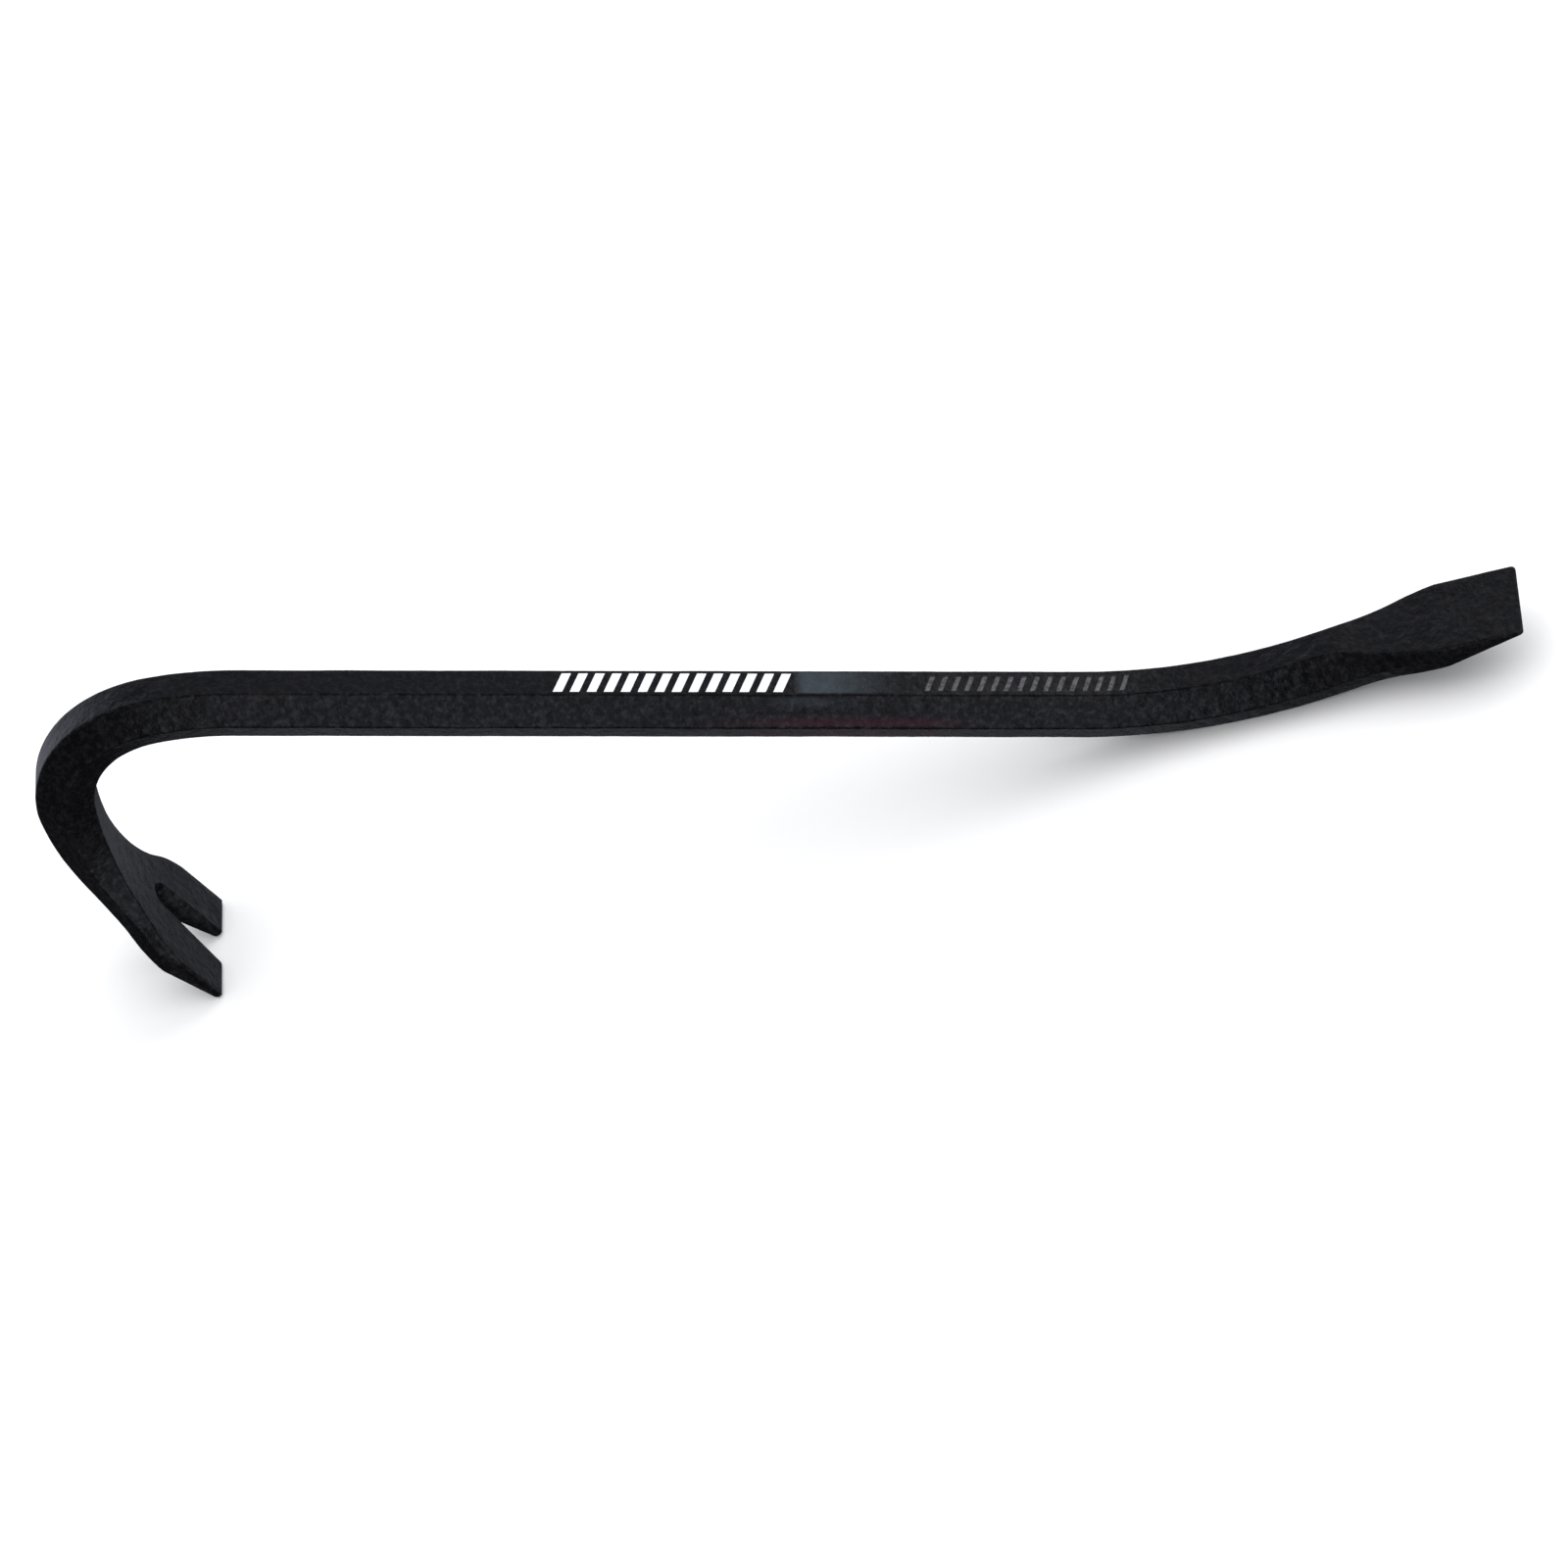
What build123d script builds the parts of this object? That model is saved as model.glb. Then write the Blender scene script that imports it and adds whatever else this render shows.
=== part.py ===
"""Gooseneck pry bar forged from hexagon steel bar.

The bar rests as it does on a bench: claw tips and chisel heel on Z = 0, the chisel
towards +X, and its plane of symmetry on Y = 0. Millimetres throughout.
"""

from build123d import *
import math
import os

os.makedirs("parts", exist_ok=True)

# Hexagon bar stock: two flats face up and down, two corners face the sides.
hex_flats = 19.0
half_flats = hex_flats / 2
half_side = half_flats / math.sqrt(3)
half_corners = 2 * half_side
stock_corner_radius = 1.1
thin_corner_share = 0.12
facet_lean = 30.0

# Centre line, from the shank's hook end. Bends are (radius, degrees turned).
shank_length = 269.0
hook_bends = [(104.0, 15.0), (40.0, 20.0), (35.0, 63.0)]
claw_bend = (108.0, 32.0)
claw_straight = 29.0
chisel_bend = (172.0, 26.0)
chisel_length = 69.0

# Cross-sections from the bend to the shoulder and the tip. Each gives the distance,
# the half width of the first face, the half width and depth of the side ridge, the
# half width of the second face and the thickness.
plain_hexagon = (half_side, half_corners, half_flats, half_side, hex_flats)
claw_neck = [
    (0.0, *plain_hexagon),
    (10.0, 6.0, 11.0, 9.2, 5.6, 18.0),
    (20.0, 6.9, 11.2, 8.6, 6.2, 16.4),
    (30.0, 8.8, 12.0, 7.4, 7.6, 14.2),
    (41.0, 11.5, 13.7, 5.9, 9.8, 11.7),
    (51.0, 15.1, 16.6, 4.5, 13.2, 9.9),
    (60.0, 19.6, 20.4, 3.8, 18.0, 8.9),
    (69.0, 21.8, 22.2, 3.4, 20.6, 8.0),
]
claw_tip = (21.3, 21.5, 1.1, 21.0, 2.4)

chisel_neck = [
    (0.0, *plain_hexagon),
    (9.0, 6.1, 11.0, 8.9, 6.1, 17.8),
    (17.0, 8.0, 11.3, 7.2, 8.0, 14.4),
    (25.0, 10.4, 12.3, 5.8, 10.4, 11.7),
    (34.0, 13.2, 14.2, 5.0, 13.2, 9.9),
    (43.0, 15.0, 15.4, 4.2, 15.0, 8.3),
]
chisel_tip = (14.9, 15.1, 0.5, 14.9, 1.0)

# Nail slot: a V through the claw, opened out on the inner face for nail heads.
slot_length = 30.0
slot_end_radius = 2.0
slot_mouth = 11.0
sink_length = 34.0
sink_end_radius = 4.4
sink_mouth = 15.0
sink_depth = 3.0
sink_slope = 50.0
slot_overrun = 3.0
sink_start = 1.0

# Stamped row of plain slanted strokes on the outer flat, near the chisel.
stamp_start = 221.0
stamp_pitch = 4.2
stamp_count = 16
stamp_stroke = 1.7
stamp_height = 6.6
stamp_slant = 18.0
stamp_depth = 0.4

# Printed decoration, each ink a thin layer. The blue fades down over the sides, and
# the red fades up over them from the lower flats.
ink_thickness = 0.1
white_start = 101.0
white_pitch = 5.4
white_count = 14
white_stroke = 3.0
white_height = 8.2
white_slant = 20.0
blue_start = 177.5
blue_length = 37.5
blue_side_start = 165.0
blue_side_length = 34.0
red_start = 140.0
red_length = 100.0
ink_margin = 0.9
side_gap = 0.6


def after_bend(x, z, heading, radius, turn):
    """End point and heading of an arc that turns left through some degrees."""
    new_heading = heading + math.radians(turn)
    new_x = x + radius * (math.sin(new_heading) - math.sin(heading))
    new_z = z - radius * (math.cos(new_heading) - math.cos(heading))
    return new_x, new_z, new_heading


# Where the claw's outer tip edge lies when the shank is level.
tip_x, tip_z, tip_heading = 0.0, 0.0, math.pi
for radius, turn in hook_bends + [claw_bend]:
    tip_x, tip_z, tip_heading = after_bend(tip_x, tip_z, tip_heading, radius, turn)
tip_x += claw_straight * math.cos(tip_heading)
tip_z += claw_straight * math.sin(tip_heading)
tip_offset = claw_tip[-1] - half_flats
tip_x += tip_offset * math.sin(tip_heading)
tip_z -= tip_offset * math.cos(tip_heading)

# At rest the bar tilts so that the tips and the heel of the chisel bend share a floor.
heel_radius = chisel_bend[0] + half_flats
heel_x = shank_length - tip_x
heel_z = chisel_bend[0] - tip_z
rest_tilt = math.atan2(heel_z, heel_x)
rest_tilt -= math.asin(heel_radius / math.hypot(heel_x, heel_z))

# Puts the middle of the bar's footprint on the origin, with the tips on Z = 0.
middle_x = -162.34
floor_z = math.sin(rest_tilt) * tip_x - math.cos(rest_tilt) * tip_z
bar_plane = Plane(
    origin=(middle_x, 0, floor_z),
    x_dir=(math.cos(rest_tilt), 0, -math.sin(rest_tilt)),
    z_dir=(0, -1, 0),
)
along = bar_plane.x_dir
outward = bar_plane.y_dir


def cross_plane(wire, distance):
    """Plane square to a centre line, X to the side, at a distance along it."""
    return Plane(
        origin=wire.position_at(distance, position_mode=PositionMode.LENGTH),
        x_dir=(0, 1, 0),
        z_dir=wire.tangent_at(distance, position_mode=PositionMode.LENGTH),
    )


def section(plane, face, ridge, ridge_depth, back, thickness):
    """Six-sided outline whose first face lies half a hexagon above the plane."""
    ridge_y = half_flats - ridge_depth
    back_y = half_flats - thickness
    corner_radius = min(stock_corner_radius, thin_corner_share * thickness)
    with BuildSketch(plane) as outline:
        with BuildLine():
            Polyline(
                (face, half_flats),
                (ridge, ridge_y),
                (back, back_y),
                (-back, back_y),
                (-ridge, ridge_y),
                (-face, half_flats),
                close=True,
            )
        make_face()
        fillet(outline.vertices(), corner_radius)
    return outline.sketch


def stock_section(plane):
    """The plain hexagon of the stock."""
    return section(plane, half_side, half_corners, half_flats, half_side, hex_flats)


with BuildLine(bar_plane) as hook_line:
    bend_start, bend_heading = Vector(bar_plane.origin), -along
    for radius, turn in hook_bends:
        hook_bend = JernArc(bend_start, bend_heading, radius, turn)
        bend_start, bend_heading = hook_bend @ 1, hook_bend % 1

with BuildLine(bar_plane) as claw_line:
    claw_arc = JernArc(bend_start, bend_heading, *claw_bend)
    Line(claw_arc @ 1, (claw_arc @ 1) + (claw_arc % 1) * claw_straight)

with BuildLine(bar_plane) as heel_line:
    heel_start = Vector(bar_plane.origin) + along * shank_length
    heel_arc = JernArc(heel_start, along, *chisel_bend)

with BuildLine(bar_plane) as chisel_line:
    Line(heel_arc @ 1, (heel_arc @ 1) + (heel_arc % 1) * chisel_length)

hook_wire = hook_line.wires()[0]
claw_wire = claw_line.wires()[0]
heel_wire = heel_line.wires()[0]
chisel_wire = chisel_line.wires()[0]


def neck_outlines(wire, stations, centred):
    """Sections along a centre line, on its first face's line or centred on it."""
    outlines = []
    for distance, *shape in stations:
        plane = cross_plane(wire, distance)
        if centred:
            lift = (shape[-1] - hex_flats) / 2
            middle = plane.origin + plane.y_dir * lift
            plane = Plane(origin=middle, x_dir=plane.x_dir, z_dir=plane.z_dir)
        outlines.append(section(plane, *shape))
    return outlines


claw_outlines = neck_outlines(
    claw_wire, claw_neck + [(claw_wire.length, *claw_tip)], centred=False
)
chisel_outlines = neck_outlines(
    chisel_wire, chisel_neck + [(chisel_length, *chisel_tip)], centred=True
)

# Inner face of the claw at the tips: X back towards the shank, Z into the metal.
tip_station = cross_plane(claw_wire, claw_wire.length)
slot_plane = Plane(
    origin=tip_station.origin + tip_station.y_dir * half_flats,
    x_dir=-tip_station.z_dir,
    z_dir=-tip_station.y_dir,
)


def slot_outline(plane, length, end_radius, mouth):
    """V that opens past the tips and ends in a round."""
    with BuildSketch(plane) as outline:
        with Locations((length - end_radius, 0)):
            Circle(end_radius)
        with BuildLine():
            Polyline(
                (-slot_overrun, mouth / 2),
                (length - end_radius, end_radius),
                (length - end_radius, -end_radius),
                (-slot_overrun, -mouth / 2),
                close=True,
            )
        make_face()
    return outline.sketch


sink_spread = sink_start * math.tan(math.radians(sink_slope))
through_slot = slot_outline(slot_plane, slot_length, slot_end_radius, slot_mouth)
sink_top = slot_outline(
    slot_plane.offset(-sink_start),
    sink_length + sink_spread,
    sink_end_radius + sink_spread,
    sink_mouth + 2 * sink_spread,
)

# Planes of the flats that carry marks, each with X along the bar and Z outward.
outer_flat = Plane(
    origin=bar_plane.origin + outward * half_flats,
    x_dir=along,
    z_dir=outward,
)


def side_flat(side, facing):
    """Flat of the shank that faces one side and leans outward (1) or inward (-1)."""
    tilt = math.radians(facet_lean)
    normal = Vector(0, side * math.cos(tilt), 0) + outward * (facing * math.sin(tilt))
    return Plane(origin=bar_plane.origin + normal * half_flats, x_dir=along, z_dir=normal)


def stroke_corners(width, height, slant):
    """Corners of a parallelogram that leans along the bar."""
    lean = height / 2 * math.tan(math.radians(slant))
    return [
        (-width / 2 - lean, -height / 2),
        (width / 2 - lean, -height / 2),
        (width / 2 + lean, height / 2),
        (-width / 2 + lean, height / 2),
    ]


def stamp_plane(distance):
    """Plane under the stamp's floor, square to the outer flat at a distance along."""
    if distance < shank_length:
        spot = bar_plane.origin + along * distance
        direction = along
    else:
        past = distance - shank_length
        spot = heel_wire.position_at(past, position_mode=PositionMode.LENGTH)
        direction = heel_wire.tangent_at(past, position_mode=PositionMode.LENGTH)
    normal = direction.cross(Vector(0, 1, 0))
    return Plane(
        origin=spot + normal * (half_flats - stamp_depth), x_dir=direction, z_dir=normal
    )


with BuildPart() as forged_bar:
    extrude(stock_section(cross_plane(hook_wire, 0)), amount=-shank_length)
    sweep(stock_section(cross_plane(hook_wire, 0)), path=hook_wire)
    loft(claw_outlines[:-1])
    loft(claw_outlines[-2:], ruled=True)
    sweep(stock_section(cross_plane(heel_wire, 0)), path=heel_wire)
    loft(chisel_outlines[:-1])
    loft(chisel_outlines[-2:], ruled=True)
    extrude(through_slot, amount=hex_flats, both=True, mode=Mode.SUBTRACT)
    extrude(sink_top, amount=sink_start + sink_depth, taper=sink_slope, mode=Mode.SUBTRACT)
    for index in range(stamp_count):
        with BuildSketch(stamp_plane(stamp_start + index * stamp_pitch)):
            Polygon(stroke_corners(stamp_stroke, stamp_height, stamp_slant))
        extrude(amount=2 * stamp_depth, mode=Mode.SUBTRACT)

with BuildPart() as print_white:
    with BuildSketch(outer_flat):
        for index in range(white_count):
            with Locations((white_start + (index + 0.5) * white_pitch, 0)):
                Polygon(stroke_corners(white_stroke, white_height, white_slant))
    extrude(amount=ink_thickness)

# Ink strips: a full one covers its flat, and a half one covers the outward or the
# inward half of a side flat.
full_strip = 2 * half_side - 2 * ink_margin
half_strip = half_side - ink_margin - side_gap / 2
strip_middle = side_gap / 2 + half_strip / 2

with BuildPart() as print_blue:
    with BuildSketch(outer_flat):
        with Locations((blue_start + blue_length / 2, 0)):
            Rectangle(blue_length, full_strip)
    extrude(amount=ink_thickness)
    for side in (-1, 1):
        with BuildSketch(side_flat(side, 1)):
            with Locations((blue_side_start + blue_side_length / 2, -side * strip_middle)):
                Rectangle(blue_side_length, half_strip)
        extrude(amount=ink_thickness)

with BuildPart() as print_red:
    for side in (-1, 1):
        with BuildSketch(side_flat(side, -1)):
            with Locations((red_start + red_length / 2, 0)):
                Rectangle(red_length, full_strip)
        extrude(amount=ink_thickness)
        with BuildSketch(side_flat(side, 1)):
            with Locations((red_start + red_length / 2, side * strip_middle)):
                Rectangle(red_length, half_strip)
        extrude(amount=ink_thickness)

forged_bar.part.label = "forged_bar"
export_step(forged_bar.part, "parts/forged_bar.step")
print_white.part.label = "print_white"
export_step(print_white.part, "parts/print_white.step")
print_blue.part.label = "print_blue"
export_step(print_blue.part, "parts/print_blue.step")
print_red.part.label = "print_red"
export_step(print_red.part, "parts/print_red.step")
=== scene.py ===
"""Looks of the gooseneck pry bar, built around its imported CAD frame.

Lengths are millimetres along the bar until place() turns them into metres of the frame.
"""

import math

import bmesh
import bpy
from mathutils import Matrix, Vector, noise


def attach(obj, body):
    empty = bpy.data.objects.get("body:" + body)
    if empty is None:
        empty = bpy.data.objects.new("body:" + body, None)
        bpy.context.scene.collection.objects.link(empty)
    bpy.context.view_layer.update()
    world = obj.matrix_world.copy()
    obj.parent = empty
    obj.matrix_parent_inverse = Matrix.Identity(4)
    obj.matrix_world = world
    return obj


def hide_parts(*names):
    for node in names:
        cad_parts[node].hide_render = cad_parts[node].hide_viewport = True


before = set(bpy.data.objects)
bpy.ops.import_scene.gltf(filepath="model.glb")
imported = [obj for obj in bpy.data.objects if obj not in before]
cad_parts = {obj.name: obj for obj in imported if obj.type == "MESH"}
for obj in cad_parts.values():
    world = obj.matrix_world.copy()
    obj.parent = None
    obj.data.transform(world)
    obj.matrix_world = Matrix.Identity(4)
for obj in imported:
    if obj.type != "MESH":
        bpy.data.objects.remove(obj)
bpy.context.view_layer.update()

# Stock and centre line. Bends are (radius, degrees); a radius of None is a straight.
FLATS = 19.0
HALF = FLATS / 2
SIDE = HALF / math.sqrt(3)
CORNERS = 2 * SIDE
SHANK = 269.0
HOOK = [(104.0, 15.0), (40.0, 20.0), (35.0, 63.0), (108.0, 32.0), (None, 29.0)]
HEEL = [(None, SHANK), (172.0, 26.0), (None, 69.0)]

# Sections: distance from the bend, half width of the first face, half width and depth
# of the side ridge, half width of the second face, thickness.
STOCK = (SIDE, CORNERS, HALF, SIDE, FLATS)
CLAW = [
    (0.0, *STOCK),
    (10.0, 6.0, 11.0, 9.2, 5.6, 18.0),
    (20.0, 6.9, 11.2, 8.6, 6.2, 16.4),
    (30.0, 8.8, 12.0, 7.4, 7.6, 14.2),
    (41.0, 11.5, 13.7, 5.9, 9.8, 11.7),
    (51.0, 15.1, 16.6, 4.5, 13.2, 9.9),
    (60.0, 19.6, 20.4, 3.8, 18.0, 8.9),
    (69.0, 21.8, 22.2, 3.4, 20.6, 8.0),
]
CLAW_TIP = (21.3, 21.5, 1.1, 21.0, 2.4)
CHISEL = [
    (0.0, *STOCK),
    (9.0, 6.1, 11.0, 8.9, 6.1, 17.8),
    (17.0, 8.0, 11.3, 7.2, 8.0, 14.4),
    (25.0, 10.4, 12.3, 5.8, 10.4, 11.7),
    (34.0, 13.2, 14.2, 5.0, 13.2, 9.9),
    (43.0, 15.0, 15.4, 4.2, 15.0, 8.3),
]
CHISEL_TIP = (14.9, 15.1, 0.5, 14.9, 1.0)
CORNER_RADIUS = 1.1
THIN_CORNER_SHARE = 0.12

# Where the bar rests: tilt of the shank and the shank's start in the frame.
TILT = math.radians(19.0644)
START_X, START_Z = -162.34, 106.797
METRE = 0.001


def centre_line(bends, x, z, heading):
    """Pieces of a centre line, each with its start, and the line's length."""
    pieces, distance = [], 0.0
    for radius, amount in bends:
        pieces.append((distance, radius, x, z, heading))
        if radius:
            turned = heading + math.radians(amount)
            x += radius * (math.sin(turned) - math.sin(heading))
            z -= radius * (math.cos(turned) - math.cos(heading))
            distance += radius * math.radians(amount)
            heading = turned
        else:
            x += amount * math.cos(heading)
            z += amount * math.sin(heading)
            distance += amount
    return pieces, distance


hook_pieces, hook_length = centre_line(HOOK, 0.0, 0.0, math.pi)
heel_pieces, heel_length = centre_line(HEEL, 0.0, 0.0, 0.0)
claw_start = hook_pieces[3][0]
chisel_start = heel_pieces[2][0]


def line_at(pieces, distance):
    """Point and heading of a centre line, straight on past its end."""
    start, radius, x, z, heading = [p for p in pieces if p[0] <= distance + 1e-9][-1]
    run = distance - start
    if radius:
        turned = heading + run / radius
        x += radius * (math.sin(turned) - math.sin(heading))
        z -= radius * (math.cos(turned) - math.cos(heading))
        return x, z, turned
    return x + run * math.cos(heading), z + run * math.sin(heading), heading


def frame_at(u):
    """Centre point and outward normal at u: minus towards the claw, plus the chisel."""
    if u < 0:
        x, z, heading = line_at(hook_pieces, -u)
        return x, z, math.sin(heading), -math.cos(heading)
    x, z, heading = line_at(heel_pieces, u)
    return x, z, -math.sin(heading), math.cos(heading)


def smooth_through(table, tip, length, distance):
    """Cubic curve through the rows of a table of sections, into the taper to the tip."""
    last = len(table) - 1
    i = max(k for k in range(last) if table[k][0] <= distance + 1e-9)
    x0, x1 = table[i][0], table[i + 1][0]
    t = (distance - x0) / (x1 - x0)

    def slope(k, column):
        if k == 0:
            return 0.0
        low = table[k - 1]
        if k == last:
            taper = (tip[column - 1] - table[k][column]) / (length - table[k][0])
            curve = (table[k][column] - low[column]) / (table[k][0] - low[0])
            return (taper + curve) / 2
        high = table[k + 1]
        return (high[column] - low[column]) / (high[0] - low[0])

    values = []
    for column in range(1, len(table[0])):
        a, b = table[i][column], table[i + 1][column]
        m0 = slope(i, column) * (x1 - x0)
        m1 = slope(i + 1, column) * (x1 - x0)
        values.append(
            (2 * t**3 - 3 * t**2 + 1) * a
            + (t**3 - 2 * t**2 + t) * m0
            + (3 * t**2 - 2 * t**3) * b
            + (t**3 - t**2) * m1
        )
    return values


def neck_and_tip(table, tip, length, distance):
    """Section at a distance from a bend: the curved neck, then the straight taper."""
    shoulder = table[-1][0]
    if distance <= shoulder:
        return smooth_through(table, tip, length, distance)
    t = (distance - shoulder) / (length - shoulder)
    return [a + (b - a) * t for a, b in zip(table[-1][1:], tip)]


def edge_loss(radius, to_end):
    """How far a rounded end has drawn in, this far from it."""
    if to_end >= radius:
        return 0.0
    return radius - math.sqrt(max(radius**2 - (radius - to_end) ** 2, 0.0))


# Rounding of the two ends: radii seen from above, and the share of the thickness.
CLAW_PLAN_ROUND, CHISEL_PLAN_ROUND = 0.9, 1.5
TIP_ROUND_SHARE = 0.3


def section_at(u):
    """Six corners of the cross-section as (side, outward), outer face first."""
    if u < -claw_start:
        shape = neck_and_tip(CLAW, CLAW_TIP, hook_length - claw_start, -u - claw_start)
        inner_half, ridge, depth, outer_half, thick = shape
        inner = -HALF
        outer = thick - HALF
        ridge_out = depth - HALF
        to_end, plan_round = u + hook_length, CLAW_PLAN_ROUND
    elif u > chisel_start:
        shape = neck_and_tip(
            CHISEL, CHISEL_TIP, heel_length - chisel_start, u - chisel_start
        )
        outer_half, ridge, depth, inner_half, thick = shape
        outer, inner = thick / 2, -thick / 2
        ridge_out = outer - depth
        to_end, plan_round = heel_length - u, CHISEL_PLAN_ROUND
    else:
        inner_half = outer_half = SIDE
        ridge, thick = CORNERS, FLATS
        outer, inner, ridge_out = HALF, -HALF, 0.0
        to_end, plan_round = FLATS, 0.0
    narrow = edge_loss(plan_round, to_end)
    thin = edge_loss(TIP_ROUND_SHARE * thick, to_end)
    outer -= thin
    inner += thin
    inner_half -= narrow
    outer_half -= narrow
    ridge -= narrow
    corners = [
        (-outer_half, outer),
        (outer_half, outer),
        (ridge, ridge_out),
        (inner_half, inner),
        (-inner_half, inner),
        (-ridge, ridge_out),
    ]
    return corners, min(CORNER_RADIUS, THIN_CORNER_SHARE * thick)


# Mesh steps across each flat, outer face first, and round each corner.
FLAT_STEPS = [20, 10, 10, 20, 10, 10]
ARC_STEPS = 4


def ring_at(u):
    """Points round the section with rounded corners, each with its own normal."""
    corners, radius = section_at(u)
    arcs = []
    for k in range(6):
        p = Vector(corners[k])
        back = (Vector(corners[k - 1]) - p).normalized()
        ahead = (Vector(corners[(k + 1) % 6]) - p).normalized()
        turn = math.pi - back.angle(ahead)
        reach = radius * math.tan(turn / 2)
        start, end = p + back * reach, p + ahead * reach
        middle = p + (back + ahead).normalized() * (radius / math.cos(turn / 2))
        arc = []
        for i in range(ARC_STEPS + 1):
            t = i / ARC_STEPS
            a, b = start - middle, end - middle
            spoke = (
                a * math.sin((1 - t) * turn) + b * math.sin(t * turn)
            ) / math.sin(turn)
            arc.append((middle + spoke, spoke.normalized()))
        arcs.append(arc)
    points = []
    for k in range(6):
        points += arcs[k]
        (p, n), (q, _) = arcs[k][-1], arcs[(k + 1) % 6][0]
        ahead = (Vector(corners[(k + 1) % 6]) - Vector(corners[k])).normalized()
        flat_normal = Vector((ahead.y, -ahead.x))
        if flat_normal.dot(n) <= 0:
            flat_normal = -flat_normal
        for i in range(1, FLAT_STEPS[k]):
            points.append((p.lerp(q, i / FLAT_STEPS[k]), flat_normal))
    return points


def forged(x, y, z):
    """Slight waviness of a hammered surface, in millimetres."""
    p = Vector((x, y, z))
    broad = noise.noise(p / 17.0)
    middle = noise.noise(p / 6.0 + Vector((40, 7, 3)))
    fine = noise.noise(p / 2.6 + Vector((11, 23, 5)))
    return 0.07 * broad + 0.035 * middle + 0.03 * fine


def to_frame(x, y, z):
    """Point of the level bar, in the frame."""
    return (
        METRE * (START_X + x * math.cos(TILT) + z * math.sin(TILT)),
        METRE * y,
        METRE * (START_Z - x * math.sin(TILT) + z * math.cos(TILT)),
    )


def place(u, side, outward, normal_side=0.0, normal_out=0.0, lift=0.0):
    """A point of the section at u, pushed out along its normal, in frame metres."""
    x, z, nx, nz = frame_at(u)
    x += nx * outward
    z += nz * outward
    push = lift
    if normal_side or normal_out:
        push += forged(x, side, z)
    x += nx * normal_out * push
    z += nz * normal_out * push
    return to_frame(x, side + normal_side * push, z)


# Spacing of the mesh rings along the bar, and their distances from each end.
RING_STEP = 0.85
END_RINGS = [0.0, 0.08, 0.2, 0.35, 0.55, 0.8, 1.1, 1.5, 2.1, 3.0]


def stations():
    """Distances of the rings: even along the bar, closer at both ends."""
    low, high = -hook_length, heel_length
    start, run = low + END_RINGS[-1], high - low - 2 * END_RINGS[-1]
    count = round(run / RING_STEP)
    middle = [start + run * i / count for i in range(1, count)]
    return [low + d for d in END_RINGS] + middle + [high - d for d in reversed(END_RINGS)]


def new_piece(name, bm, material, nodes=()):
    """Mesh object from a bmesh, riding on the bar's one body."""
    mesh = bpy.data.meshes.new(name)
    bm.normal_update()
    bm.to_mesh(mesh)
    bm.free()
    piece = bpy.data.objects.new(name, mesh)
    bpy.context.scene.collection.objects.link(piece)
    if material:
        mesh.materials.append(material)
        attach(piece, "root")
        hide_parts(*nodes)
    return piece


def build_bar():
    """Closed skin of the whole bar, before the slot and the stamps are cut."""
    bm = bmesh.new()
    rings = []
    for u in stations():
        ring = []
        for point, normal in ring_at(u):
            spot = place(u, point.x, point.y, normal.x, normal.y)
            ring.append(bm.verts.new(spot))
        rings.append(ring)
    count = len(rings[0])
    for a, b in zip(rings, rings[1:]):
        for i in range(count):
            j = (i + 1) % count
            bm.faces.new((a[i], b[i], b[j], a[j]))
    for ring in (rings[0], rings[-1]):
        centre = sum((v.co for v in ring), Vector()) / count
        hub = bm.verts.new(centre)
        for i in range(count):
            bm.faces.new((ring[i], ring[(i + 1) % count], hub))
    bmesh.ops.recalc_face_normals(bm, faces=bm.faces)
    return bm


# The nail slot, as outlines from above the claw's inner face to below its outer one:
# depth at the tips, depth gained per mm back from them, reach, end radius, half mouth.
# The first four open out to round the rim, and the next three are the nail bevel's foot.
INNER_ROWS = [
    (-1.6, 0.0, 36.0, 6.2, 8.8),
    (-0.35, 0.0, 34.75, 4.95, 7.55),
    (0.0, 0.0, 34.4, 4.6, 7.2),
    (0.25, 0.0, 34.1, 4.3, 6.9),
    (0.5, 0.13, 30.9, 2.6, 6.3),
    (0.65, 0.13, 30.3, 2.15, 6.0),
    (0.85, 0.13, 30.0, 2.0, 5.85),
]
# The same past the outer face, measured from that face.
OUTER_ROWS = [(-0.45, 30.0, 2.0, 5.85), (0.0, 30.25, 2.25, 6.1), (2.0, 32.2, 4.2, 8.05)]
# Rounding of the slot's mouth, how far the cutter runs past the tips, and mesh steps.
MOUTH_ROUND, SLOT_OVERRUN = 1.1, 3.0
SLOT_SIDE_STEPS, SLOT_END_STEPS = 26, 14
# The slot's axis wanders this far across the claw, from its mouth towards its end.
AXIS_DRIFT, AXIS_RUN = 2.0, 28.0


def slot_outline(reach, radius, half_mouth):
    """Outline of the slot at one depth, as (distance back from the tips, side)."""
    centre = reach - radius
    points = []
    for i in range(SLOT_SIDE_STEPS + 1):
        t = (i / SLOT_SIDE_STEPS) ** 2
        q = -SLOT_OVERRUN + (centre + SLOT_OVERRUN) * t
        y = half_mouth + (radius - half_mouth) * q / centre
        y += edge_loss(MOUTH_ROUND, max(q, 0.0)) + max(-q, 0.0)
        points.append((q, y))
    points += [
        (centre + radius * math.cos(angle), radius * math.sin(angle))
        for angle in (
            math.pi / 2 - math.pi * i / SLOT_END_STEPS for i in range(1, SLOT_END_STEPS)
        )
    ]
    points += [(q, -y) for q, y in reversed(points[: SLOT_SIDE_STEPS + 1])]
    return [(q, y + AXIS_DRIFT * min(max(q, 0.0) / AXIS_RUN, 1.0)) for q, y in points]


def claw_thickness(q):
    """Thickness of the claw at a distance back from its tips."""
    distance = hook_length - claw_start - max(q, 0.0)
    return neck_and_tip(CLAW, CLAW_TIP, hook_length - claw_start, distance)[-1]


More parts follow.
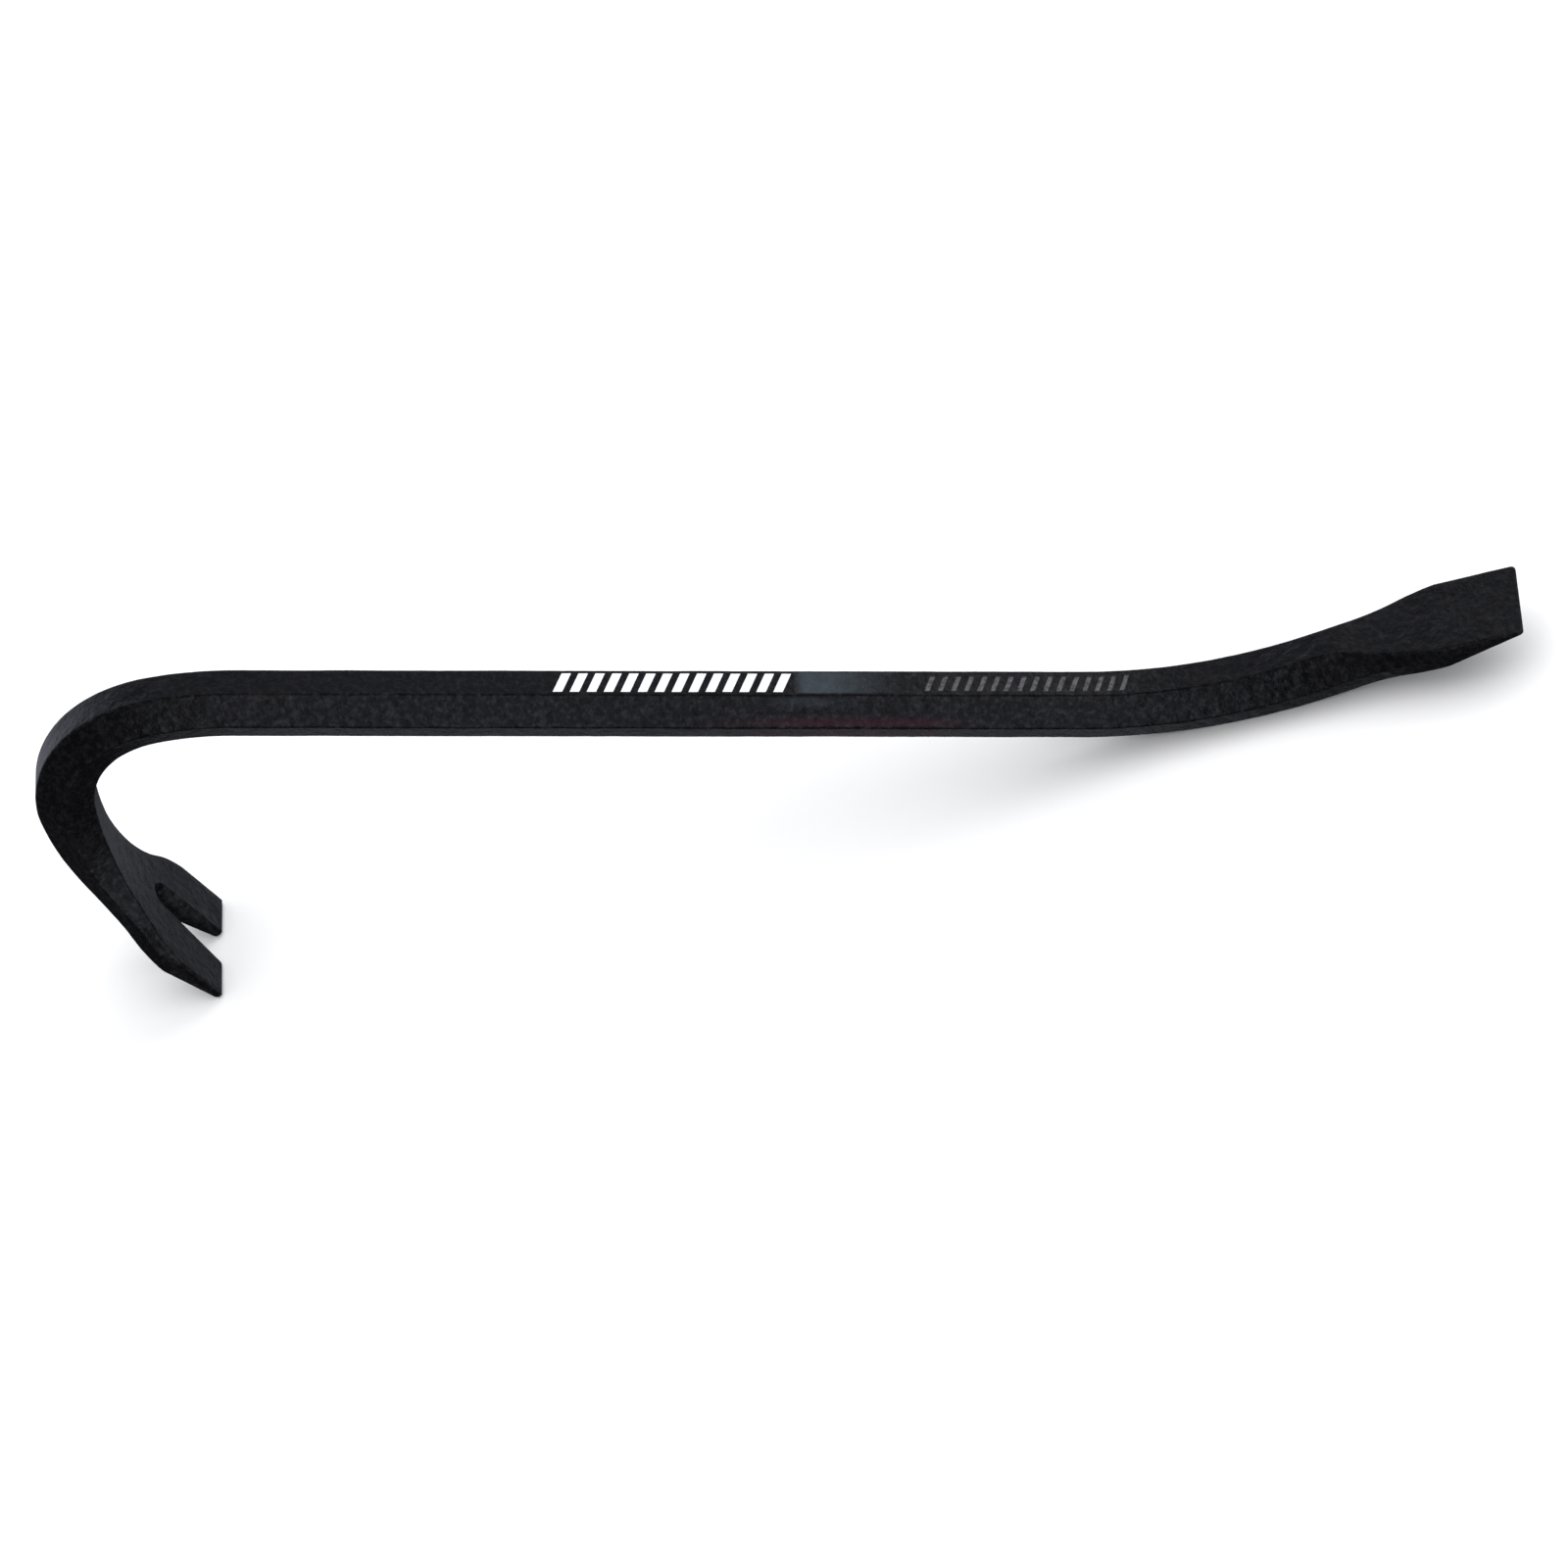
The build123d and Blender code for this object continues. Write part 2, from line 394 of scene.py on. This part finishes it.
def claw_point(q, y, depth):
    """Frame point at a distance back from the tips and below the claw's inner face."""
    x, z, nx, nz = frame_at(-hook_length)
    out = depth - HALF
    return to_frame(x + nz * q + nx * out, y, z - nx * q + nz * out)


def add_prism(bm, rows):
    """Closed solid through rows of points."""
    rings = [[bm.verts.new(p) for p in row] for row in rows]
    count = len(rings[0])
    for a, b in zip(rings, rings[1:]):
        for i in range(count):
            j = (i + 1) % count
            bm.faces.new((a[i], a[j], b[j], b[i]))
    bm.faces.new(list(reversed(rings[0])))
    bm.faces.new(rings[-1])


# Plain stamped strokes on the outer flat.
STAMP_FIRST, STAMP_PITCH, STAMP_COUNT = 221.0, 4.2, 16
STAMP_WIDTH, STAMP_HEIGHT, STAMP_SLANT, STAMP_DEPTH = 1.7, 6.6, 18.0, 0.4
# How much a stamp widens on each side, at heights from its floor to above the flat.
STAMP_LEVELS = [(-0.12, -STAMP_DEPTH), (0.12, 0.0), (0.5, 0.5)]


def stroke_corners(width, height, slant):
    """Corners of a stroke that leans along the bar, as (along, side)."""
    lean = height / 2 * math.tan(math.radians(slant))
    return [
        (-width / 2 - lean, -height / 2),
        (width / 2 - lean, -height / 2),
        (width / 2 + lean, height / 2),
        (-width / 2 + lean, height / 2),
    ]


def build_cutter():
    """Everything that is cut from the bar, as one mesh of separate solids."""
    bm = bmesh.new()
    rows = []
    for depth, gain, *shape in INNER_ROWS:
        outline = slot_outline(*shape)
        rows.append([claw_point(q, y, depth + gain * max(q, 0.0)) for q, y in outline])
    for depth, *shape in OUTER_ROWS:
        outline = slot_outline(*shape)
        rows.append([claw_point(q, y, depth + claw_thickness(q)) for q, y in outline])
    add_prism(bm, rows)
    for k in range(STAMP_COUNT):
        u = STAMP_FIRST + k * STAMP_PITCH
        rows = []
        for grow, level in STAMP_LEVELS:
            corners = stroke_corners(
                STAMP_WIDTH + 2 * grow, STAMP_HEIGHT + 2 * grow, STAMP_SLANT
            )
            rows.append([place(u + a, s, HALF + level) for a, s in corners])
        add_prism(bm, rows)
    bmesh.ops.recalc_face_normals(bm, faces=bm.faces)
    return bm


# Half the thickness of an ink layer, which lies half in the flat.
INK_LIFT = 0.05


def build_patches(grids):
    """Thin closed layers over grids of spots.

    A spot is (u, side, outward, normal side, normal out, strength of the ink).
    """
    bm = bmesh.new()
    strength = bm.verts.layers.float.new("strength")
    for grid in grids:
        skins = []
        for lift in (INK_LIFT, -INK_LIFT):
            skin = []
            for row in grid:
                skin.append([bm.verts.new(place(*spot[:5], lift=lift)) for spot in row])
                for vert, spot in zip(skin[-1], row):
                    vert[strength] = spot[5]
            skins.append(skin)
        top, bottom = skins
        rows, columns = len(grid), len(grid[0])
        for i in range(rows - 1):
            for j in range(columns - 1):
                corners = ((i, j), (i + 1, j), (i + 1, j + 1), (i, j + 1))
                bm.faces.new([top[a][b] for a, b in corners])
                bm.faces.new([bottom[a][b] for a, b in reversed(corners)])
        rim = [(i, 0) for i in range(rows)]
        rim += [(rows - 1, j) for j in range(1, columns)]
        rim += [(i, columns - 1) for i in range(rows - 2, -1, -1)]
        rim += [(0, j) for j in range(columns - 2, 0, -1)]
        for (i, j), (k, m) in zip(rim, rim[1:] + rim[:1]):
            bm.faces.new((top[i][j], bottom[i][j], bottom[k][m], top[k][m]))
    bmesh.ops.recalc_face_normals(bm, faces=bm.faces)
    return bm


# Prints, as in the CAD model.
WHITE_FIRST, WHITE_PITCH, WHITE_COUNT = 101.0, 5.4, 14
WHITE_WIDTH, WHITE_HEIGHT, WHITE_SLANT = 3.0, 8.2, 20.0
STROKE_COLUMNS, STROKE_ROWS = 5, 9
STRIP_COLUMNS = 8
BLUE_FIRST, BLUE_LENGTH = 177.5, 37.5
BLUE_SIDE_FIRST, BLUE_SIDE_LENGTH = 165.0, 34.0
RED_FIRST, RED_LENGTH = 140.0, 100.0
# Bare rim beside each flat's corners, and the gap between blue and red on a side flat.
INK_MARGIN, SIDE_GAP = 0.9, 0.6
STRIP_EDGE = SIDE - INK_MARGIN
# Where each fade starts, is full, begins to weaken and ends, along the bar.
BLUE_FADE = (177.0, 181.0, 183.0, 214.0)
BLUE_SIDE_FADE = (165.0, 177.0, 181.0, 199.0)
RED_FADE = (140.0, 192.0, 214.0, 240.0)
# How far from a side flat's middle each colour is full, and how strong blue is there.
BLUE_FULL_AT, RED_FULL_AT, BLUE_SIDE_STRENGTH = 3.6, 4.4, 0.3


def white_grids():
    """One slanted stroke after another along the outer flat."""
    grids = []
    columns, rows = STROKE_COLUMNS, STROKE_ROWS
    corners = stroke_corners(WHITE_WIDTH, WHITE_HEIGHT, WHITE_SLANT)
    (low_left, bottom), (low_right, _), (high_right, top), (high_left, _) = corners
    for k in range(WHITE_COUNT):
        centre = WHITE_FIRST + (k + 0.5) * WHITE_PITCH
        grid = []
        for i in range(columns + 1):
            s = i / columns
            low = low_left + (low_right - low_left) * s
            high = high_left + (high_right - high_left) * s
            row = []
            for j in range(rows + 1):
                t = j / rows
                along, across = low + (high - low) * t, bottom + (top - bottom) * t
                row.append((centre + along, across, HALF, 0.0, 1.0, 1.0))
            grid.append(row)
        grids.append(grid)
    return grids


def ramp(value, start, end):
    """Smooth step from 0 at the start to 1 at the end."""
    t = min(max((value - start) / (end - start), 0.0), 1.0)
    return t * t * (3 - 2 * t)


def faded(u, fade):
    """Strength of a print at u, which comes in and goes out smoothly."""
    start, full, weakens, end = fade
    return ramp(u, start, full) * (1 - ramp(u, weakens, end))


def strip_grid(first, length, low, high, turn, strength):
    """Grid on one flat of the shank.

    The flat is the outer one turned by some degrees, the strip runs between two
    heights across it, and strength is a function of the place along and across.
    """
    normal_side, normal_out = math.sin(math.radians(turn)), math.cos(math.radians(turn))
    grid = []
    steps, columns = round(length), STRIP_COLUMNS
    for i in range(steps + 1):
        u = first + length * i / steps
        row = []
        for j in range(columns + 1):
            v = low + (high - low) * j / columns
            side = normal_side * HALF - normal_out * v
            out = normal_out * HALF + normal_side * v
            row.append((u, side, out, normal_side, normal_out, strength(u, v)))
        grid.append(row)
    return grid


def blue_grids():
    """Blue after the white strokes, down over the outward halves of the side flats."""

    def on_top(u, v):
        return faded(u, BLUE_FADE)

    def on_side(u, v):
        across = ramp(abs(v), SIDE_GAP / 2, BLUE_FULL_AT)
        return BLUE_SIDE_STRENGTH * faded(u, BLUE_SIDE_FADE) * across

    grids = [strip_grid(BLUE_FIRST, BLUE_LENGTH, -STRIP_EDGE, STRIP_EDGE, 0, on_top)]
    for turn in (-60, 60):
        low, high = side_half(turn, outward=True)
        grids.append(strip_grid(BLUE_SIDE_FIRST, BLUE_SIDE_LENGTH, low, high, turn, on_side))
    return grids


def side_half(turn, outward):
    """Heights of the outward or the inward half of a side flat."""
    away = -1 if (turn < 0) == outward else 1
    ends = (away * SIDE_GAP / 2, away * STRIP_EDGE)
    return min(ends), max(ends)


def red_grids():
    """Red on the lower side flats, up over the inward halves of the side flats."""

    def on_lower(u, v):
        return faded(u, RED_FADE)

    def on_side(u, v):
        return faded(u, RED_FADE) * ramp(abs(v), SIDE_GAP / 2, RED_FULL_AT)

    grids = []
    for turn in (-120, 120):
        grids.append(strip_grid(RED_FIRST, RED_LENGTH, -STRIP_EDGE, STRIP_EDGE, turn, on_lower))
    for turn in (-60, 60):
        low, high = side_half(turn, outward=False)
        grids.append(strip_grid(RED_FIRST, RED_LENGTH, low, high, turn, on_side))
    return grids


class Nodes:
    """Short calls for building a material's node tree."""

    def __init__(self, name):
        self.material = bpy.data.materials.new(name)
        self.material.use_nodes = True
        self.tree = self.material.node_tree
        self.shader = self.tree.nodes["Principled BSDF"]
        self.coords = self.tree.nodes.new("ShaderNodeTexCoord").outputs["Object"]

    def link(self, a, b):
        self.tree.links.new(a, b)

    def noise(self, size_mm, detail=3.0, rough=0.55):
        node = self.tree.nodes.new("ShaderNodeTexNoise")
        node.inputs["Scale"].default_value = 1.0 / (size_mm * METRE)
        node.inputs["Detail"].default_value = detail
        node.inputs["Roughness"].default_value = rough
        self.link(self.coords, node.inputs["Vector"])
        return node.outputs["Fac"]

    def remap(self, value, low, high, to_low, to_high):
        node = self.tree.nodes.new("ShaderNodeMapRange")
        for socket, number in zip(list(node.inputs)[1:5], (low, high, to_low, to_high)):
            socket.default_value = number
        self.link(value, node.inputs["Value"])
        return node.outputs["Result"]

    def math(self, operation, a, b):
        node = self.tree.nodes.new("ShaderNodeMath")
        node.operation = operation
        for socket, value in zip(node.inputs, (a, b)):
            if isinstance(value, (int, float)):
                socket.default_value = value
            else:
                self.link(value, socket)
        return node.outputs[0]

    def mix(self, factor, a, b):
        node = self.tree.nodes.new("ShaderNodeMix")
        node.data_type = "RGBA"
        self.link(factor, node.inputs["Factor"])
        sockets = [s for s in node.inputs if s.type == "RGBA"]
        for socket, value in zip(sockets, (a, b)):
            if isinstance(value, tuple):
                socket.default_value = (*value, 1.0)
            else:
                self.link(value, socket)
        return [s for s in node.outputs if s.type == "RGBA"][0]

    def bump(self, height, distance_mm, normal=None):
        node = self.tree.nodes.new("ShaderNodeBump")
        node.inputs["Strength"].default_value = 1.0
        node.inputs["Distance"].default_value = distance_mm * METRE
        self.link(height, node.inputs["Height"])
        if normal is not None:
            self.link(normal, node.inputs["Normal"])
        return node.outputs["Normal"]

    def attribute(self, name):
        node = self.tree.nodes.new("ShaderNodeAttribute")
        node.attribute_name = name
        return node.outputs["Fac"]


# Colours of the enamel, its specks, its worn corners, the inks, and the painted highlight
# inside the stamps.
ENAMEL_DARK, ENAMEL_PALE = (0.0009, 0.0009, 0.0014), (0.0024, 0.0023, 0.0032)
SPECK = (0.0070, 0.0068, 0.0085)
WORN = (0.06, 0.058, 0.056)
STAMP_HIGHLIGHT = (0.085, 0.084, 0.094)
WHITE, THIN_WHITE = (0.74, 0.76, 0.79), (0.30, 0.30, 0.32)
BLUE_TINT, RED_TINT = (0.030, 0.040, 0.049), (0.022, 0.002, 0.007)
ENAMEL_IOR = 1.45


def enamel(n, tint=None, strength=None):
    """Black enamel over a forged surface, tinted where a print fades into it."""
    blotch = n.noise(22.0, 4.0)
    grain = n.noise(1.7, 4.0, 0.6)
    colour = n.mix(blotch, ENAMEL_DARK, ENAMEL_PALE)
    specks = n.remap(n.noise(1.9, 5.0, 0.65), 0.46, 0.72, 0.0, 1.0)
    coarse = n.remap(n.attribute("flank"), 0.0, 1.0, 0.5, 1.0)
    specks = n.math("MULTIPLY", specks, coarse)
    colour = n.mix(specks, colour, SPECK)
    shine = n.remap(specks, 0.0, 1.0, 0.42, 0.95)
    n.link(shine, n.shader.inputs["Specular IOR Level"])
    if tint is not None:
        colour = n.mix(strength, colour, tint)
    n.link(colour, n.shader.inputs["Base Color"])
    rough = n.remap(blotch, 0.3, 0.7, 0.20, 0.29)
    rough = n.math("ADD", rough, n.remap(grain, 0.3, 0.7, 0.0, 0.09))
    n.link(rough, n.shader.inputs["Roughness"])
    normal = n.bump(n.noise(4.5, 3.0, 0.5), 0.60)
    normal = n.bump(grain, 0.20, normal)
    normal = n.bump(n.noise(0.9, 2.0, 0.5), 0.06, normal)
    n.link(normal, n.shader.inputs["Normal"])
    n.shader.inputs["IOR"].default_value = ENAMEL_IOR
    return colour


def black_paint():
    """Enamel of the bar, rubbed thin on its corners, and painted paler inside the stamps as a
    highlight of the light their walls catch.
    """
    n = Nodes("black_enamel")
    colour = enamel(n)
    patchy = n.remap(n.noise(3.0, 5.0, 0.65), 0.50, 0.68, 0.0, 0.14)
    worn = n.math("MULTIPLY", n.attribute("edge"), patchy)
    colour = n.mix(worn, colour, WORN)
    # Paler patches inside the stamps: a painted highlight for the light that catches the
    # stamped walls.
    stamp_highlight = n.remap(n.noise(1.3, 3.0), 0.35, 0.6, 0.35, 1.0)
    stamp_highlight = n.math("MULTIPLY", n.attribute("stamp"), stamp_highlight)
    colour = n.mix(stamp_highlight, colour, STAMP_HIGHLIGHT)
    n.link(colour, n.shader.inputs["Base Color"])
    return n.material


def white_ink():
    """Opaque ink, worn thin in places."""
    n = Nodes("white_ink")
    thin = n.remap(n.noise(2.2, 5.0, 0.7), 0.60, 0.78, 0.0, 0.5)
    n.link(n.mix(thin, WHITE, THIN_WHITE), n.shader.inputs["Base Color"])
    n.link(n.remap(n.noise(3.0), 0.3, 0.7, 0.30, 0.45), n.shader.inputs["Roughness"])
    n.link(n.bump(n.noise(0.9, 2.0), 0.03), n.shader.inputs["Normal"])
    return n.material


def fading_ink(name, tint):
    """Enamel tinted by an ink, as strongly as each patch says, a little unevenly."""
    n = Nodes(name)
    uneven = n.remap(n.noise(3.0, 4.0), 0.3, 0.7, 0.65, 1.0)
    enamel(n, tint, n.math("MULTIPLY", n.attribute("strength"), uneven))
    return n.material


def along_and_depth(point):
    """Distance along the bar of a frame point near the outer flat, and its depth."""
    dx, dz = point.x / METRE - START_X, point.z / METRE - START_Z
    x = dx * math.cos(TILT) - dz * math.sin(TILT)
    z = dx * math.sin(TILT) + dz * math.cos(TILT)
    if x < SHANK:
        return x, HALF - z
    radius = HEEL[1][0]
    across, down = x - SHANK, radius - z
    return (
        SHANK + radius * math.atan2(across, down),
        HALF - radius + math.hypot(across, down),
    )


def mark_flanks(mesh):
    """Stores how far each point faces sideways, where the forging scale is coarser."""
    flanks = [min(max(2.5 * abs(vert.normal.y) - 1.0, 0.0), 1.0) for vert in mesh.vertices]
    mesh.attributes.new("flank", "FLOAT", "POINT").data.foreach_set("value", flanks)


# A corner counts as fully worn from this turn on. The painted highlight in the stamps lies
# below this depth, within this share of the stamps' height from the middle of the flat.
WORN_TURN = math.radians(14)
HIGHLIGHT_DEPTH, HIGHLIGHT_REACH = 0.12, 0.6


def mark_wear_and_stamp_highlight(mesh):
    """Stores where the corners are, for wear, and where the stamps are, for the painted
    highlight in them.
    """
    bm = bmesh.new()
    bm.from_mesh(mesh)
    edges, stamps = [], []
    last_stamp = STAMP_FIRST + STAMP_PITCH * STAMP_COUNT
    stamp_reach = HIGHLIGHT_REACH * STAMP_HEIGHT * METRE
    for vert in bm.verts:
        angles = [e.calc_face_angle(0.0) for e in vert.link_edges if len(e.link_faces) == 2]
        edges.append(min(max(angles, default=0.0) / WORN_TURN, 1.0))
        u, depth = along_and_depth(vert.co)
        # Mask of the stamps' floors and walls, which get a painted highlight.
        in_row = STAMP_FIRST - STAMP_PITCH < u < last_stamp
        inside = HIGHLIGHT_DEPTH < depth < 2 * STAMP_DEPTH and abs(vert.co.y) < stamp_reach
        stamps.append(1.0 if in_row and inside else 0.0)
    bm.free()
    for name, values in (("edge", edges), ("stamp", stamps)):
        mesh.attributes.new(name, "FLOAT", "POINT").data.foreach_set("value", values)


SMOOTH_BELOW = math.radians(32)


def shade(piece):
    """Smooth shading, with sharp edges where the surface turns further."""
    for polygon in piece.data.polygons:
        polygon.use_smooth = True
    piece.data.set_sharp_from_angle(angle=SMOOTH_BELOW)


def area_light(name, position, target, size, power, unseen=False):
    """Soft rectangular lamp. An unseen one lights surfaces but isn't mirrored in them."""
    lamp = bpy.data.lights.new(name, "AREA")
    lamp.shape = "RECTANGLE"
    lamp.size, lamp.size_y = size
    lamp.energy = power
    holder = bpy.data.objects.new(name, lamp)
    holder.location = position
    holder.visible_glossy = not unseen
    holder.visible_camera = False
    aim = Vector(target) - Vector(position)
    holder.rotation_euler = aim.to_track_quat("-Z", "Y").to_euler()
    bpy.context.scene.collection.objects.link(holder)


# The bar, with its slot and stamps cut out.
bar = new_piece("bar", build_bar(), black_paint(), ["forged_bar"])
cutter = new_piece("cutter", build_cutter(), None)
cut = bar.modifiers.new("cut", "BOOLEAN")
cut.operation = "DIFFERENCE"
cut.solver = "EXACT"
cut.object = cutter
evaluated = bar.evaluated_get(bpy.context.evaluated_depsgraph_get())
carved = bpy.data.meshes.new_from_object(evaluated)
bar.modifiers.clear()
bar.data = carved
bpy.data.objects.remove(cutter)
mark_wear_and_stamp_highlight(bar.data)
mark_flanks(bar.data)
shade(bar)

# The prints.
white = new_piece(
    "white_strokes", build_patches(white_grids()), white_ink(), ["print_white"]
)
blue = new_piece(
    "blue_fade",
    build_patches(blue_grids()),
    fading_ink("blue_ink", BLUE_TINT),
    ["print_blue"],
)
red = new_piece(
    "red_fade",
    build_patches(red_grids()),
    fading_ink("red_ink", RED_TINT),
    ["print_red"],
)
for fade in (blue, red):
    mark_flanks(fade.data)
for piece in (white, blue, red):
    shade(piece)

# Pale floor, a hair below the bar. Sizes of the floor, lamps and world are in metres.
FLOOR_SIZE, FLOOR_DROP, FLOOR_ROUGHNESS = 12.0, 0.0002, 0.8
FLOOR_GREYS = (0.80, 0.80, 0.80), (0.84, 0.84, 0.84)
bpy.ops.mesh.primitive_plane_add(size=FLOOR_SIZE, location=(0, 0, -FLOOR_DROP))
floor = bpy.context.object
floor.name = "floor"
f = Nodes("pale_floor")
f.link(f.mix(f.noise(400.0), *FLOOR_GREYS), f.shader.inputs["Base Color"])
f.shader.inputs["Roughness"].default_value = FLOOR_ROUGHNESS
floor.data.materials.append(f.material)
floor.visible_glossy = False

# Soft studio light: a sky of broad soft patches, and lamps for the floor.
SKY_BASE = 0.05
SKY_TINT, BACKDROP = (0.84, 0.87, 1.0, 1), (0.9, 0.9, 0.9, 1)
SKY_PATCHES = [
    # direction, half angle where the patch is full, half angle where it ends, strength
    ((0.30, 0.70, 0.62), 12, 48, 0.22),
    ((-0.68, 0.70, 0.00), 12, 52, 0.55),
    ((0.45, -0.87, 0.15), 22, 45, 0.52),
    ((0.60, 0.70, -0.40), 15, 45, 0.24),
    ((-0.32, 0.26, -0.91), 4, 15, 0.16),
]


def studio_sky():
    """World of soft patches for the surfaces, and a plain backdrop for the camera."""
    world = bpy.data.worlds.new("studio")
    bpy.context.scene.world = world
    world.use_nodes = True
    tree = world.node_tree
    direction = tree.nodes.new("ShaderNodeTexCoord").outputs["Generated"]
    total = SKY_BASE
    for toward, full, end, strength in SKY_PATCHES:
        dot = tree.nodes.new("ShaderNodeVectorMath")
        dot.operation = "DOT_PRODUCT"
        tree.links.new(direction, dot.inputs[0])
        dot.inputs[1].default_value = Vector(toward).normalized()
        patch = tree.nodes.new("ShaderNodeMapRange")
        patch.interpolation_type = "SMOOTHSTEP"
        patch.inputs["From Min"].default_value = math.cos(math.radians(end))
        patch.inputs["From Max"].default_value = math.cos(math.radians(full))
        patch.inputs["To Max"].default_value = strength
        tree.links.new(dot.outputs["Value"], patch.inputs["Value"])
        add = tree.nodes.new("ShaderNodeMath")
        add.operation = "ADD"
        tree.links.new(patch.outputs["Result"], add.inputs[0])
        if isinstance(total, float):
            add.inputs[1].default_value = total
        else:
            tree.links.new(total, add.inputs[1])
        total = add.outputs[0]
    background = tree.nodes["Background"]
    background.inputs["Color"].default_value = SKY_TINT
    tree.links.new(total, background.inputs["Strength"])
    backdrop = tree.nodes.new("ShaderNodeBackground")
    backdrop.inputs["Color"].default_value = BACKDROP
    mix = tree.nodes.new("ShaderNodeMixShader")
    seen = tree.nodes.new("ShaderNodeLightPath").outputs["Is Camera Ray"]
    tree.links.new(seen, mix.inputs["Fac"])
    tree.links.new(background.outputs[0], mix.inputs[1])
    tree.links.new(backdrop.outputs[0], mix.inputs[2])
    tree.links.new(mix.outputs[0], tree.nodes["World Output"].inputs["Surface"])


studio_sky()
area_light("ceiling", (0.1, 0.3, 2.2), (0, 0, 0), (5.0, 4.4), 35, unseen=True)
area_light("hall", (0, 0, 6), (0, 0, 0), (26, 26), 2700, unseen=True)
area_light("softbox", (0.58, 0.50, 0.55), (0.12, 0, 0.06), (0.7, 0.34), 0.42)

# Camera at the photograph's angle, against the level bar: angles, distance and lens in
# millimetres, the point of the bar that it aims at, and how far the aim is off that.
ELEVATION, SWING, ROLL = math.radians(45.59), math.radians(4.54), math.radians(3.32)
DISTANCE, LENS, SENSOR = 3135.0, 225.0, 36.0
AIM = (170.0, 0.0, -10.0)
OFF_RIGHT, OFF_UP = 5.266, -18.558
VIEW_DEPTH = 50


def tilted(x, y, z):
    """A direction of the level bar, turned to how the bar rests."""
    return Vector(
        (
            x * math.cos(TILT) + z * math.sin(TILT),
            y,
            -x * math.sin(TILT) + z * math.cos(TILT),
        )
    )


right = tilted(math.cos(SWING), -math.sin(SWING), 0)
up = tilted(
    math.sin(SWING) * math.sin(ELEVATION),
    math.cos(SWING) * math.sin(ELEVATION),
    math.cos(ELEVATION),
)
back = right.cross(up)
rolled_right = right * math.cos(ROLL) + up * math.sin(ROLL)
rolled_up = up * math.cos(ROLL) - right * math.sin(ROLL)
aim = Vector((START_X, 0, START_Z)) + tilted(*AIM)
aim += rolled_right * OFF_RIGHT + rolled_up * OFF_UP
camera_data = bpy.data.cameras.new("camera")
camera_data.lens = LENS
camera_data.sensor_width = SENSOR
camera_data.clip_end = VIEW_DEPTH
camera = bpy.data.objects.new("camera", camera_data)
bpy.context.scene.collection.objects.link(camera)
camera.matrix_world = Matrix((rolled_right, rolled_up, back)).transposed().to_4x4()
camera.location = (aim + back * DISTANCE) * METRE
bpy.context.scene.camera = camera
bpy.context.scene.view_settings.view_transform = "Standard"
